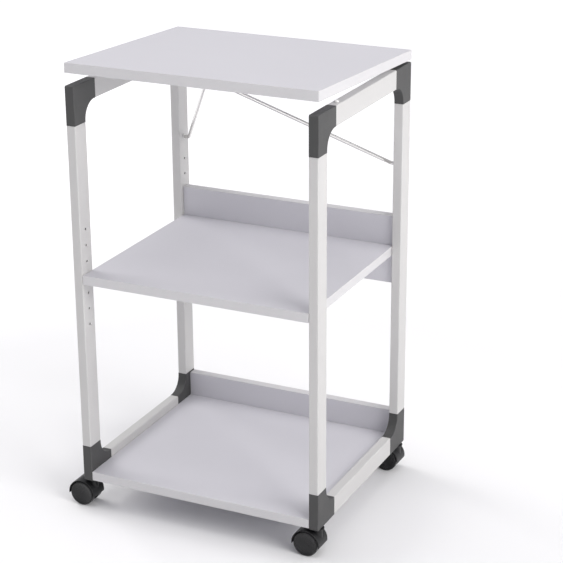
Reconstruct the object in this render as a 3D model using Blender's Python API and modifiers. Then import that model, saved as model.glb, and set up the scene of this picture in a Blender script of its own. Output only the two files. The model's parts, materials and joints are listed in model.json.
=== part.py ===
"""Mobile projector stand.

A frame of flat steel tube stands on four hooded twin-wheel casters.  Moulded
corner connectors plug into the tubes.  Two shelves, each with a panel along its
rear, span the frame, and the top board tilts on two hinge brackets, held up by
a bent wire prop.

Metres, +Z up, -Y is the front.  The origin is on the floor, under the middle of
the stand's overall box.
"""

import math

import bmesh
import bpy
from mathutils import Quaternion, Vector

# Frame
WIDTH = 0.508                 # across the frame and the top board
DEPTH = 0.430                 # front to rear
FRAME_HEIGHT = 0.800          # underside of the bottom corners to the top corners' tops
CASTER_HEIGHT = 0.057         # floor to the underside of the bottom corners
TUBE_WIDE = 0.038
TUBE_THIN = 0.019
TUBE_WALL = 0.0015
TUBE_RADIUS = 0.002
CORNER_ARM = 0.075            # length of each arm of a corner connector
SPIGOT_LENGTH = 0.030
GAP = 0.0003                  # kept between pieces that touch

# Row of holes down the inner faces of the legs
HOLE_PITCH = 0.032
HOLE_DIAMETER = 0.005
HOLE_TOP = 0.521              # highest front hole, above the frame's underside
FRONT_HOLES = 7
REAR_HOLES = 8                # the rear legs have one more hole above

# Shelves and their rear panels, heights above the frame's underside
BOARD_THICK = 0.019
SHELF_THICK = 0.018
BOTTOM_SHELF_TOP = 0.021
BOTTOM_PANEL_HEIGHT = 0.052
BOTTOM_PANEL_REAR = 0.213     # rear face of the panel, behind the frame's middle
MIDDLE_SHELF_HEIGHT = 0.425   # mid-plane of the shelf, on the fourth hole
MIDDLE_PANEL_HEIGHT = 0.140
EDGE_ROUNDING = 0.0006

# Hidden shelf fittings
BOLT_DIAMETER = 0.0044
BOLT_HEAD_DIAMETER = 0.007
BOLT_REACH = 0.034            # from the leg's inner face to the centre of the cam
BOLT_DEPTH = 0.010            # part of the bolt in the leg
CAM_DIAMETER = 0.015
CAM_DEPTH = 0.0125

# Tilting top
TILT = math.radians(2.66)     # as it stands
HINGE_Y = 0.203
HINGE_HEIGHT = 0.790          # above the frame's underside
HINGE_TO_BOARD = 0.0145       # hinge axis to the underside of the board
SHEET = 0.002                 # thickness of the bracket steel
EYE_RADIUS = 0.009            # tab of the bracket, round about the pin
BRACKET_REAR = 0.010          # reach of the bracket behind the pin
TAB_FRONT = 0.034             # reach of the tab in front of the pin
FLANGE_FRONT = 0.050          # reach of the flange in front of the pin
FLANGE_WIDTH = 0.027
FLANGE_CORNER = 0.006
SCREW_INSET = 0.015           # screws from the flange's outer edge
SCREW_PLACES = (0.012, 0.038)     # in front of the pin
SCREW_HOLE_DIAMETER = 0.0044
PIN_DIAMETER = 0.005
PIN_HEAD_DIAMETER = 0.010
PIN_HEAD_HEIGHT = 0.0028
PIN_DEPTH = 0.012             # part of the pin in the connector
PAD_DIAMETER = 0.009
PAD_Y = -0.118

# Wire prop
WIRE_DIAMETER = 0.007
PROP_Y = 0.196
PROP_HEIGHT = 0.600           # pivot above the frame's underside
PROP_PIN_END = 0.2435         # half the wire's overall width
PROP_BEND_X = 0.223
PROP_APEX_X = 0.012
PROP_RISE = 0.211             # apex above the pivot, as it stands
PROP_REACH = 0.316            # apex in front of the pivot, as it stands
WIRE_BEND_RADIUS = 0.008
SLOT_TRAVEL = 0.042           # run of the crossbar in its guide
SLOT_AHEAD = 0.012            # part of that run in front of the crossbar
SLOT_PLAY = 0.0017            # clear height over and under the wire
KEEL_THICK = 0.008
KEEL_RIM = 0.003              # round the slot
KEEL_END = 0.010              # beyond the slot's rim, for a screw at each end
FOOT_WIDTH = 0.036
FOOT_THICK = 0.0025
BUSH_DIAMETER = 0.011
BUSH_HEIGHT = 0.0016
BUSH_NECK_DIAMETER = 0.009
BUSH_DEPTH = 0.004
BUSH_PLAY = 0.0002

# Casters
WHEEL_DIAMETER = 0.050
WHEEL_WIDTH = 0.014
CASTER_WIDTH = 0.041
TRAIL = 0.017                 # stem axis to axle
WEB_THICK = 0.011             # wall between the two wheels
HOOD_RADIUS = 0.0285
HOOD_WALL = 0.0015
HOOD_START = -8               # degrees from level, on the stem's side
HOOD_END = 185
HUB_RADIUS = 0.008
BOSS_RADIUS = 0.0095          # round the stem
COLLAR_RADIUS = 0.013         # at the boss's top
COLLAR_HEIGHT = 0.0024
HOOD_CLEARANCE = 0.0008       # under the bottom corner
WHEEL_HOLLOW_RADIUS = 0.020
WHEEL_HUB_RADIUS = 0.007
AXLE_DIAMETER = 0.006
STEM_DIAMETER = 0.011
STEM_LENGTH = 0.030           # part inside the connector
STEM_TAIL_DIAMETER = 0.007

LEG_X = (WIDTH - TUBE_THIN) / 2
LEG_Y = (DEPTH - TUBE_WIDE) / 2
INNER_X = WIDTH / 2 - TUBE_THIN
BASE_Z = CASTER_HEIGHT
TOP_Z = BASE_Z + FRAME_HEIGHT
HINGE_Z = BASE_Z + HINGE_HEIGHT
WHEEL_RADIUS = WHEEL_DIAMETER / 2
# The casters trail to the left, so the overall box reaches further that way.  On
# the right it ends at the collars of the hoods.
CENTRE_X = (TRAIL + HOOD_RADIUS - COLLAR_RADIUS) / 2

SIDES = (("left", -1), ("right", 1))
ENDS = (("front", -1), ("rear", 1))


# ---------------------------------------------------------------- scene set-up

def clear_scene():
    """Remove whatever the scene holds."""
    for old in list(bpy.data.objects):
        bpy.data.objects.remove(old, do_unlink=True)


def new_collection(name):
    group = bpy.data.collections.new(name)
    bpy.context.scene.collection.children.link(group)
    return group


def new_material(name, colour, roughness, metallic=0.0):
    finish = bpy.data.materials.new(name)
    finish.use_nodes = True
    shader = finish.node_tree.nodes["Principled BSDF"]
    shader.inputs["Base Color"].default_value = (*colour, 1.0)
    shader.inputs["Roughness"].default_value = roughness
    shader.inputs["Metallic"].default_value = metallic
    finish.diffuse_color = (*colour, 1.0)
    return finish


clear_scene()
PARTS = new_collection("projector_stand")
CUTTERS = new_collection("cutters")
BOARD = new_material("light_grey_laminate", (0.60, 0.61, 0.63), 0.45)
PAINT = new_material("silver_grey_paint", (0.62, 0.62, 0.62), 0.40, 0.2)
MOULDING = new_material("dark_grey_plastic", (0.085, 0.085, 0.09), 0.50)
BLACK = new_material("black_plastic", (0.012, 0.012, 0.013), 0.35)
TREAD = new_material("black_wheel", (0.018, 0.018, 0.019), 0.30)
ZINC = new_material("zinc_plated_steel", (0.62, 0.62, 0.63), 0.35, 0.9)
WHITE = new_material("white_nylon", (0.80, 0.80, 0.78), 0.50)


def add_part(name, mesh, finish, parent, location=(0, 0, 0), rotation=(0, 0, 0)):
    """Put a mesh or curve in the scene as one named piece of the stand."""
    piece = bpy.data.objects.new(name, mesh)
    PARTS.objects.link(piece)
    piece.parent = parent
    piece.location = location
    piece.rotation_euler = rotation
    if not mesh.materials:
        mesh.materials.append(finish)
    return piece


def add_empty(name, parent=None, location=(0, 0, 0), rotation=(0, 0, 0)):
    axis = bpy.data.objects.new(name, None)
    PARTS.objects.link(axis)
    axis.parent = parent
    axis.location = location
    axis.rotation_euler = rotation
    axis.empty_display_size = 0.03
    return axis


def add_cutter(name, mesh, parent, location=(0, 0, 0), rotation=(0, 0, 0)):
    tool = bpy.data.objects.new(name, mesh)
    CUTTERS.objects.link(tool)
    tool.parent = parent
    tool.location = location
    tool.rotation_euler = rotation
    tool.hide_render = True
    tool.display_type = "WIRE"
    return tool


# -------------------------------------------------------------- shape helpers

def finish_mesh(bm, name, smooth=False):
    mesh = bpy.data.meshes.new(name)
    bmesh.ops.recalc_face_normals(bm, faces=bm.faces)
    bm.to_mesh(mesh)
    bm.free()
    if smooth:
        mesh.shade_smooth()
        mesh.set_sharp_from_angle(angle=math.radians(35))
    return mesh


def block(name, size, centre=(0, 0, 0)):
    """Box of the given size about a centre."""
    bm = bmesh.new()
    bmesh.ops.create_cube(bm, size=1.0)
    bmesh.ops.scale(bm, vec=size, verts=bm.verts)
    bmesh.ops.translate(bm, vec=centre, verts=bm.verts)
    return finish_mesh(bm, name)


def add_cylinder(bm, radius, length, centre, turn=None, sides=24):
    """Add a closed cylinder along Z, or turned by a matrix, about a centre."""
    made = bmesh.ops.create_cone(
        bm, cap_ends=True, segments=sides, radius1=radius, radius2=radius, depth=length)
    if turn is not None:
        bmesh.ops.transform(bm, matrix=turn, verts=made["verts"])
    bmesh.ops.translate(bm, vec=centre, verts=made["verts"])


def cylinders(name, radius, length, centres, axis="Z", sides=24):
    """One mesh of equal cylinders along X, Y or Z."""
    from_z = {"X": Vector((1, 0, 0)), "Y": Vector((0, 1, 0)), "Z": Vector((0, 0, 1))}[axis]
    turn = Vector((0, 0, 1)).rotation_difference(from_z).to_matrix().to_4x4()
    bm = bmesh.new()
    for centre in centres:
        add_cylinder(bm, radius, length, centre, turn, sides)
    return finish_mesh(bm, name, smooth=True)


def arc(centre, radius, start, end, steps):
    """Points on an arc, from a start to an end angle in degrees."""
    angles = [math.radians(start + (end - start) * i / steps) for i in range(steps + 1)]
    return [(centre[0] + radius * math.cos(a), centre[1] + radius * math.sin(a)) for a in angles]


def plate(name, outlines, thickness):
    """Flat shape in XY, holes included, as a welded mesh about the plane Z = 0."""
    curve = bpy.data.curves.new(name, "CURVE")
    curve.dimensions = "2D"
    curve.fill_mode = "BOTH"
    curve.extrude = thickness / 2
    for outline in outlines:
        spline = curve.splines.new("POLY")
        spline.points.add(len(outline) - 1)
        for point, (x, y) in zip(spline.points, outline):
            point.co = (x, y, 0, 1)
        spline.use_cyclic_u = True
    drawn = bpy.data.objects.new(name, curve)
    CUTTERS.objects.link(drawn)
    bpy.context.view_layer.update()
    raw = bpy.data.meshes.new_from_object(drawn.evaluated_get(bpy.context.evaluated_depsgraph_get()))
    bpy.data.objects.remove(drawn)
    bpy.data.curves.remove(curve)
    bm = bmesh.new()
    bm.from_mesh(raw)
    bpy.data.meshes.remove(raw)
    bmesh.ops.remove_doubles(bm, verts=bm.verts, dist=0.00001)
    bmesh.ops.dissolve_limit(bm, angle_limit=math.radians(1), verts=bm.verts, edges=bm.edges)
    return finish_mesh(bm, name, smooth=True)


def turned(name, profile, finish, parent, location=(0, 0, 0), rotation=(0, 0, 0), steps=32):
    """Piece turned about its Z axis from (radius, height) points, outer side top to bottom."""
    mesh = bpy.data.meshes.new(name)
    count = len(profile)
    closed = profile[0][0] > 0
    edges = [(i, i + 1) for i in range(count - 1)]
    if closed:
        edges.append((count - 1, 0))
    mesh.from_pydata([(radius, 0, height) for radius, height in profile], edges, [])
    piece = add_part(name, mesh, finish, parent, location, rotation)
    lathe = piece.modifiers.new("lathe", "SCREW")
    lathe.axis = "Z"
    lathe.steps = steps
    lathe.render_steps = steps
    lathe.use_merge_vertices = True
    lathe.merge_threshold = 0.00001
    lathe.use_smooth_shade = True
    return piece


def round_edges(piece, width, segments=2):
    """Round every edge sharper than 40 degrees."""
    bevel = piece.modifiers.new("rounding", "BEVEL")
    bevel.width = width
    bevel.segments = segments
    bevel.limit_method = "ANGLE"
    bevel.angle_limit = math.radians(40)


def combine(piece, tool, operation="DIFFERENCE"):
    step = piece.modifiers.new(tool.name, "BOOLEAN")
    step.operation = operation
    step.solver = "EXACT"
    step.object = tool


# -------------------------------------------------------------------- frame

def tube(name, length, parent, location, rotation=(0, 0, 0)):
    """Flat tube with rounded corners and open ends, along its own Z axis."""
    bm = bmesh.new()
    bmesh.ops.create_cube(bm, size=1.0)
    bmesh.ops.scale(bm, vec=(TUBE_THIN, TUBE_WIDE, length), verts=bm.verts)
    ends = [face for face in bm.faces if abs(face.normal.z) > 0.5]
    bmesh.ops.delete(bm, geom=ends, context="FACES_ONLY")
    long_edges = [edge for edge in bm.edges if edge.calc_length() > length / 2]
    bmesh.ops.bevel(bm, geom=long_edges, offset=TUBE_RADIUS, segments=2, affect="EDGES", profile=0.5)
    piece = add_part(name, finish_mesh(bm, name, smooth=True), PAINT, parent, location, rotation)
    wall = piece.modifiers.new("wall", "SOLIDIFY")
    wall.thickness = TUBE_WALL
    wall.offset = -1
    wall.use_even_offset = True
    return piece


def build_legs(frame):
    """Four uprights with the row of holes facing the inside of the stand."""
    length = FRAME_HEIGHT - 2 * CORNER_ARM - 2 * GAP
    middle = BASE_Z + FRAME_HEIGHT / 2
    for end, toward_rear in ENDS:
        for side, outward in SIDES:
            leg = tube(f"leg_{end}_{side}", length, frame,
                       (outward * LEG_X, toward_rear * LEG_Y, middle))
            count = REAR_HOLES if end == "rear" else FRONT_HOLES
            lowest = HOLE_TOP - (FRONT_HOLES - 1) * HOLE_PITCH
            wall_x = outward * (INNER_X + TUBE_WALL / 2)
            heights = [BASE_Z + lowest + i * HOLE_PITCH for i in range(count)]
            row = cylinders(f"holes_{end}_{side}", HOLE_DIAMETER / 2, 3 * TUBE_WALL,
                            [(wall_x, toward_rear * LEG_Y, z) for z in heights], "X", 10)
            combine(leg, add_cutter(row.name, row, frame))
            if end == "rear":
                seat = cylinders(f"bush_hole_{side}", 0.00465, 3 * TUBE_WALL,
                                 [(wall_x, PROP_Y, BASE_Z + PROP_HEIGHT)], "X", 16)
                combine(leg, add_cutter(seat.name, seat, frame))


def build_rails(frame):
    """Level tubes that join the front and rear corners on each side."""
    length = DEPTH - 2 * CORNER_ARM - 2 * GAP
    for side, outward in SIDES:
        for level, z in (("bottom", BASE_Z + TUBE_WIDE / 2), ("top", TOP_Z - TUBE_WIDE / 2)):
            tube(f"{level}_rail_{side}", length, frame, (outward * LEG_X, 0, z),
                 (math.radians(90), 0, 0))


def connector_outline(along, up):
    """L outline with a quarter-circle fillet; along and up are the arms' signs."""
    reach = CORNER_ARM
    fillet = arc((reach, reach), reach - TUBE_WIDE, 270, 180, 9)
    points = [(0, 0), (reach, 0), *fillet, (0, reach)]
    return [(along * x, up * y) for x, y in points]


def build_connector(frame, level, end, side):
    """Moulded corner whose spigots plug into a leg and a rail."""
    outward = dict(SIDES)[side]
    toward_rear = dict(ENDS)[end]
    along = -toward_rear
    up = 1 if level == "bottom" else -1
    name = f"{level}_connector_{end}_{side}"
    corner = (outward * LEG_X, toward_rear * DEPTH / 2, BASE_Z if up > 0 else TOP_Z)
    upright = (math.radians(90), 0, math.radians(90))
    body = plate(name, [connector_outline(along, up)], TUBE_THIN)
    piece = add_part(name, body, MOULDING, frame, corner, upright)
    round_edges(piece, 0.0012, 1)

    inside_wide = TUBE_WIDE - 2 * TUBE_WALL - 2 * GAP
    inside_thin = TUBE_THIN - 2 * TUBE_WALL - 2 * GAP
    overlap = 0.004
    run = SPIGOT_LENGTH + overlap
    middle = CORNER_ARM - overlap + run / 2
    leg_size = (inside_wide, run, inside_thin)
    leg_centre = (along * TUBE_WIDE / 2, up * middle, 0)
    rail_size = (run, inside_wide, inside_thin)
    rail_centre = (along * middle, up * TUBE_WIDE / 2, 0)
    for target, size, centre in (("leg", leg_size, leg_centre), ("rail", rail_size, rail_centre)):
        label = f"{name}_{target}_spigot"
        spigot = add_cutter(label, block(label, size, centre), frame, corner, upright)
        round_edges(spigot, 0.0008, 1)
        combine(piece, spigot, "UNION")
    if level == "bottom":
        socket = cylinders(f"{name}_socket", STEM_DIAMETER / 2 + GAP, 2 * (STEM_LENGTH + 0.001),
                           [(outward * LEG_X, toward_rear * LEG_Y, BASE_Z)], sides=16)
        combine(piece, add_cutter(socket.name, socket, frame))
    elif end == "rear":
        pilot = cylinders(f"{name}_pilot", PIN_DIAMETER / 2 + GAP, 0.026,
                          [(outward * INNER_X, HINGE_Y, HINGE_Z)], "X", 12)
        combine(piece, add_cutter(pilot.name, pilot, frame))


def build_connectors(frame):
    for level in ("bottom", "top"):
        for end, _ in ENDS:
            for side, _ in SIDES:
                build_connector(frame, level, end, side)


# ------------------------------------------------------------ shelves, panels

def build_bottom_shelf(frame):
    """Shelf between the bottom rails, and the low panel that stands behind it."""
    width = 2 * (INNER_X - GAP)
    underside = BASE_Z + BOTTOM_SHELF_TOP - SHELF_THICK
    panel_front = BOTTOM_PANEL_REAR - SHELF_THICK
    depth = panel_front - GAP + DEPTH / 2
    shelf = add_part("bottom_shelf", block("bottom_shelf", (width, depth, SHELF_THICK)), BOARD, frame,
                     (0, panel_front - GAP - depth / 2, underside + SHELF_THICK / 2))
    round_edges(shelf, EDGE_ROUNDING)
    height = SHELF_THICK + BOTTOM_PANEL_HEIGHT
    panel = add_part("bottom_rear_panel",
                     block("bottom_rear_panel", (width, SHELF_THICK, height)), BOARD,
                     frame, (0, panel_front + SHELF_THICK / 2, underside + height / 2))
    round_edges(panel, EDGE_ROUNDING)


def bolt_profile():
    """Cam bolt along Z: shank through the leg at the bottom, head at the top."""
    shank = BOLT_DIAMETER / 2
    head = BOLT_HEAD_DIAMETER / 2
    return [(0, BOLT_REACH), (0.0022, BOLT_REACH), (0.003, BOLT_REACH - 0.001),
            (0.003, BOLT_REACH - 0.003), (0.0018, BOLT_REACH - 0.004), (0.0018, BOLT_REACH - 0.009),
            (head, BOLT_REACH - 0.011), (head, 0.004), (shank, 0.003), (shank, -BOLT_DEPTH),
            (0, -BOLT_DEPTH)]


def cam_profile():
    """Cam disc about Z, flat side at the top."""
    radius = CAM_DIAMETER / 2
    return [(0, CAM_DEPTH), (radius - 0.0006, CAM_DEPTH), (radius, CAM_DEPTH - 0.0006),
            (radius, 0.0006), (radius - 0.0006, 0), (0, 0)]


def cam_cutters(frame, name, outward, y, z, face, cut_into):
    """Bores for one fitting: in from the board's end, and the cam's pocket from one face."""
    end_x = outward * INNER_X
    cam_x = end_x - outward * BOLT_REACH
    bore = cylinders(f"{name}_bore", BOLT_HEAD_DIAMETER / 2 + 0.0006, BOLT_REACH - 0.003,
                     [((end_x + cam_x) / 2 + outward * 0.0035, y, z)], "X", 8)
    depth = CAM_DEPTH + GAP
    middle = SHELF_THICK / 2 - depth / 2 + GAP
    if face == "underside":
        centre = (cam_x, y, z - middle)
        pocket = cylinders(f"{name}_pocket", CAM_DIAMETER / 2 + GAP, depth + 2 * GAP, [centre], sides=16)
    else:
        centre = (cam_x, y + middle, z)
        pocket = cylinders(f"{name}_pocket", CAM_DIAMETER / 2 + GAP, depth + 2 * GAP, [centre], "Y", 16)
    for mesh in (bore, pocket):
        combine(cut_into, add_cutter(mesh.name, mesh, frame))


def build_fitting(frame, label, outward, y, z, face, board):
    """Bolt in a leg hole and the cam that draws the board's end against the leg."""
    side = "left" if outward < 0 else "right"
    cam_cutters(frame, f"{label}_{side}", outward, y, z, face, board)
    towards_centre = (0, math.radians(-90 * outward), 0)
    turned(f"{label}_bolt_{side}", bolt_profile(), ZINC, frame, (outward * INNER_X, y, z),
           towards_centre, 8)
    cam_x = outward * (INNER_X - BOLT_REACH)
    if face == "underside":
        place = (cam_x, y, z - SHELF_THICK / 2 + GAP)
        turn = (0, 0, 0)
    else:
        place = (cam_x, y + SHELF_THICK / 2 - GAP, z)
        turn = (math.radians(90), 0, 0)
    cam = turned(f"{label}_cam_{side}", cam_profile(), ZINC, frame, place, turn, 16)
    mouth = cylinders(f"{cam.name}_mouth", 0.0033, 0.012, [(cam_x + outward * 0.003, y, z)], "X", 12)
    combine(cam, add_cutter(mouth.name, mouth, frame))


def build_middle_shelf(frame):
    """Middle shelf, and the panel behind it that is centred on its thickness."""
    width = 2 * (INNER_X - GAP)
    panel_front = LEG_Y - SHELF_THICK / 2
    depth = panel_front - GAP + DEPTH / 2
    z = BASE_Z + MIDDLE_SHELF_HEIGHT
    shelf = add_part("middle_shelf", block("middle_shelf", (width, depth, SHELF_THICK)), BOARD, frame,
                     (0, panel_front - GAP - depth / 2, z))
    round_edges(shelf, EDGE_ROUNDING)
    panel = add_part("middle_rear_panel",
                     block("middle_rear_panel", (width, SHELF_THICK, MIDDLE_PANEL_HEIGHT)), BOARD,
                     frame, (0, LEG_Y, z))
    round_edges(panel, EDGE_ROUNDING)
    for _, outward in SIDES:
        build_fitting(frame, "shelf", outward, -LEG_Y, z, "underside", shelf)
        build_fitting(frame, "panel", outward, LEG_Y, z, "rear", panel)


# ------------------------------------------------------------- tilting top

def build_top(frame):
    """Board, brackets and prop guide, all on the tilt axis."""
    tilt_axis = add_empty("tilt_axis", frame, (0, HINGE_Y, HINGE_Z), (-TILT, 0, 0))
    board = add_part("top_board", block("top_board", (WIDTH, DEPTH, BOARD_THICK)), BOARD, tilt_axis,
                     (0, -HINGE_Y, HINGE_TO_BOARD + BOARD_THICK / 2))
    round_edges(board, EDGE_ROUNDING)
    for side, outward in SIDES:
        build_bracket(tilt_axis, side, outward)
        build_hinge_pin(frame, side, outward)
        build_rest_pad(frame, side, outward)
    build_prop_guide(tilt_axis)


def bracket_tab_outline():
    """Hanging tab: round about the hinge pin and flared up to the flange."""
    top = HINGE_TO_BOARD - GAP
    eye = arc((0, 0), EYE_RADIUS, -10, -170, 9)
    return [(BRACKET_REAR, top), *eye, (-TAB_FRONT, top - SHEET), (-TAB_FRONT, top)]


def bracket_flange_outline(outward):
    """Flat flange under the board with a round-cornered free end."""
    middle_x = FLANGE_CORNER - FLANGE_WIDTH
    round_front = arc((middle_x, FLANGE_CORNER - FLANGE_FRONT), FLANGE_CORNER, 270, 180, 4)
    round_rear = arc((middle_x, BRACKET_REAR - FLANGE_CORNER), FLANGE_CORNER, 180, 90, 4)
    points = [(0, BRACKET_REAR), (0, -FLANGE_FRONT), *round_front, *round_rear]
    return [(outward * x, y) for x, y in points]


def build_bracket(tilt_axis, side, outward):
    """Pressed L bracket: a flange under the board and a tab beside the connector."""
    name = f"hinge_bracket_{side}"
    top = HINGE_TO_BOARD - GAP
    face_x = outward * (INNER_X - 2 * GAP)
    tab_x = face_x - outward * SHEET / 2
    pin_hole = arc((0, 0), PIN_DIAMETER / 2 + GAP, 0, 330, 11)
    tab = plate(name, [bracket_tab_outline(), pin_hole], SHEET)
    piece = add_part(name, tab, ZINC, tilt_axis, (tab_x, 0, 0), (math.radians(90), 0, math.radians(90)))
    screw_holes = [arc((-outward * SCREW_INSET, -ahead), SCREW_HOLE_DIAMETER / 2, 0, 324, 9)
                   for ahead in SCREW_PLACES]
    label = f"{name}_flange"
    flange = add_cutter(label, plate(label, [bracket_flange_outline(outward), *screw_holes], SHEET),
                        tilt_axis, (face_x, 0, top - SHEET / 2))
    combine(piece, flange, "UNION")


def build_hinge_pin(frame, side, outward):
    """Shoulder screw along X through the bracket's tab into the connector."""
    shank = PIN_DIAMETER / 2
    head = PIN_HEAD_DIAMETER / 2
    seat = 2 * GAP + SHEET + GAP
    top = seat + PIN_HEAD_HEIGHT
    profile = [(0, top), (head - 0.001, top), (head, top - 0.001), (head, seat), (shank, seat),
               (shank, 0.001 - PIN_DEPTH), (shank - 0.001, -PIN_DEPTH), (0, -PIN_DEPTH)]
    turned(f"hinge_pin_{side}", profile, ZINC, frame, (outward * INNER_X, HINGE_Y, HINGE_Z),
           (0, math.radians(-90 * outward), 0), 14)


def build_rest_pad(frame, side, outward):
    """Small domed pad on the top rail that the lowered board rests on."""
    radius = PAD_DIAMETER / 2
    height = HINGE_HEIGHT + HINGE_TO_BOARD - FRAME_HEIGHT - 2 * GAP
    profile = [(0, height), (radius * 0.5, height - 0.0002), (radius * 0.85, height - 0.0008),
               (radius, height - 0.002), (radius, 0), (0, 0)]
    turned(f"rest_pad_{side}", profile, WHITE, frame, (outward * LEG_X, PAD_Y, TOP_Z + GAP), steps=16)


# --------------------------------------------------------------- wire prop

def prop_apex_in_board():
    """Crossbar's place in the board's frame: (along Y, above the hinge axis)."""
    y = PROP_Y - PROP_REACH - HINGE_Y
    z = PROP_HEIGHT + PROP_RISE - HINGE_HEIGHT
    along = y * math.cos(TILT) - z * math.sin(TILT)
    above = y * math.sin(TILT) + z * math.cos(TILT)
    return along, above


def build_prop_guide(tilt_axis):
    """Keel under the board whose long slot carries the prop's crossbar."""
    along, above = prop_apex_in_board()
    name = "prop_guide"
    top = HINGE_TO_BOARD - GAP
    half = WIRE_DIAMETER / 2 + SLOT_PLAY
    front = along - SLOT_AHEAD
    rear = front + SLOT_TRAVEL
    slot = [*arc((rear, above), half, -90, 90, 10), *arc((front, above), half, 90, 270, 10)]
    rim = half + KEEL_RIM
    keel_front = front - rim - KEEL_END
    keel_rear = rear + rim + KEEL_END
    lower = [*arc((front, above), rim, 200, 270, 6), *arc((rear, above), rim, 270, 340, 6)]
    web = top - FOOT_THICK - 0.0005
    outline = [(keel_rear, top), (keel_front, top), (keel_front, web), *lower, (keel_rear, web)]
    keel = plate(name, [outline, slot], KEEL_THICK)
    piece = add_part(name, keel, MOULDING, tilt_axis, (0, 0, 0), (math.radians(90), 0, math.radians(90)))
    middle = (keel_front + keel_rear) / 2
    length = keel_rear - keel_front
    label = f"{name}_foot"
    foot = add_cutter(label, block(label, (FOOT_WIDTH, length, FOOT_THICK),
                                   (0, middle, top - FOOT_THICK / 2)), tilt_axis)
    combine(piece, foot, "UNION")


def rounded_path(corners, radius, steps=4):
    """Path through corner points with each inner corner rounded to a radius."""
    points = [Vector(corners[0])]
    for before, corner, after in zip(corners, corners[1:], corners[2:]):
        corner = Vector(corner)
        back = (Vector(before) - corner).normalized()
        ahead = (Vector(after) - corner).normalized()
        half_angle = back.angle(ahead) / 2
        centre = corner + (back + ahead).normalized() * (radius / math.sin(half_angle))
        start = corner + back * (radius / math.tan(half_angle)) - centre
        end = corner + ahead * (radius / math.tan(half_angle)) - centre
        turn = start.angle(end)
        points += [centre + Quaternion(start.cross(end), turn * i / steps) @ start
                   for i in range(steps + 1)]
    return points + [Vector(corners[-1])]


def build_prop(frame):
    """Bent wire: a pin in each rear leg, two arms, and a crossbar under the board."""
    prop_axis = add_empty("prop_axis", frame, (0, PROP_Y, BASE_Z + PROP_HEIGHT))
    half = [(PROP_PIN_END, 0, 0), (PROP_BEND_X, 0, 0), (PROP_APEX_X, -PROP_REACH, PROP_RISE)]
    corners = [(-x, y, z) for x, y, z in half] + list(reversed(half))
    curve = bpy.data.curves.new("prop_wire", "CURVE")
    curve.dimensions = "3D"
    curve.bevel_depth = WIRE_DIAMETER / 2
    curve.bevel_resolution = 2
    curve.use_fill_caps = True
    path = rounded_path(corners, WIRE_BEND_RADIUS)
    spline = curve.splines.new("POLY")
    spline.points.add(len(path) - 1)
    for point, place in zip(spline.points, path):
        point.co = (*place, 1)
    add_part("prop_wire", curve, ZINC, prop_axis)
    bore = WIRE_DIAMETER / 2 + BUSH_PLAY
    neck = BUSH_NECK_DIAMETER / 2
    head = BUSH_DIAMETER / 2
    profile = [(bore, BUSH_HEIGHT), (head - 0.0005, BUSH_HEIGHT), (head, BUSH_HEIGHT - 0.0005),
               (head, GAP / 2), (neck, GAP / 2), (neck, -BUSH_DEPTH), (bore, -BUSH_DEPTH)]
    for side, outward in SIDES:
        turned(f"prop_bush_{side}", profile, WHITE, frame, (outward * INNER_X, PROP_Y, BASE_Z + PROP_HEIGHT),
               (0, math.radians(-90 * outward), 0), 16)


# ------------------------------------------------------------------ casters

def hood_outline():
    """Side view of the hood about the axle: a half round over the wheels, and the hub."""
    over = arc((0, 0), HOOD_RADIUS, HOOD_START, HOOD_END, 20)
    hub = arc((0, 0), HUB_RADIUS, 205, 335, 8)
    return [*over, *hub]


def hood_mesh():
    return plate("caster_hood", [hood_outline()], CASTER_WIDTH)


def hood_tools(caster, name):
    """Stem boss and collar to add, then the two wheel pockets and the two bores to cut."""
    top = CASTER_HEIGHT - HOOD_CLEARANCE
    base = WHEEL_RADIUS + 0.010
    boss = cylinders(f"{name}_boss", BOSS_RADIUS, top - base, [(0, 0, (top + base) / 2)], sides=20)
    collar = cylinders(f"{name}_collar", COLLAR_RADIUS, COLLAR_HEIGHT,
                       [(0, 0, top - COLLAR_HEIGHT / 2)], sides=20)
    pocket_width = CASTER_WIDTH / 2 - WEB_THICK / 2 + 0.001
    pocket_y = WEB_THICK / 2 + pocket_width / 2
    pockets = cylinders(f"{name}_pockets", HOOD_RADIUS - HOOD_WALL, pocket_width,
                        [(-TRAIL, -pocket_y, WHEEL_RADIUS), (-TRAIL, pocket_y, WHEEL_RADIUS)], "Y", 30)
    stem_bore = cylinders(f"{name}_stem_bore", STEM_TAIL_DIAMETER / 2 + GAP, 0.040, [(0, 0, 0.047)],
                          sides=12)
    axle_bore = cylinders(f"{name}_axle_bore", AXLE_DIAMETER / 2 + GAP, 2 * WEB_THICK,
                          [(-TRAIL, 0, WHEEL_RADIUS)], "Y", 12)
    tools = [(boss, "UNION"), (collar, "UNION")]
    tools += [(mesh, "DIFFERENCE") for mesh in (pockets, stem_bore, axle_bore)]
    return [(add_cutter(mesh.name, mesh, caster), operation) for mesh, operation in tools]


def stem_profile():
    """Plain stem with a grip groove above, a collar, and a tail that the hood turns on."""
    radius = STEM_DIAMETER / 2
    tail = STEM_TAIL_DIAMETER / 2
    top = CASTER_HEIGHT + STEM_LENGTH
    base = CASTER_HEIGHT - GAP
    return [(0, top), (radius - 0.0015, top), (radius, top - 0.0015), (radius, top - 0.006),
            (radius - 0.001, top - 0.0068), (radius - 0.001, top - 0.0095), (radius, top - 0.0103),
            (radius, base + 2 * GAP), (tail, base), (tail, 0.0295), (tail - 0.001, 0.0285), (0, 0.0285)]


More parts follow.
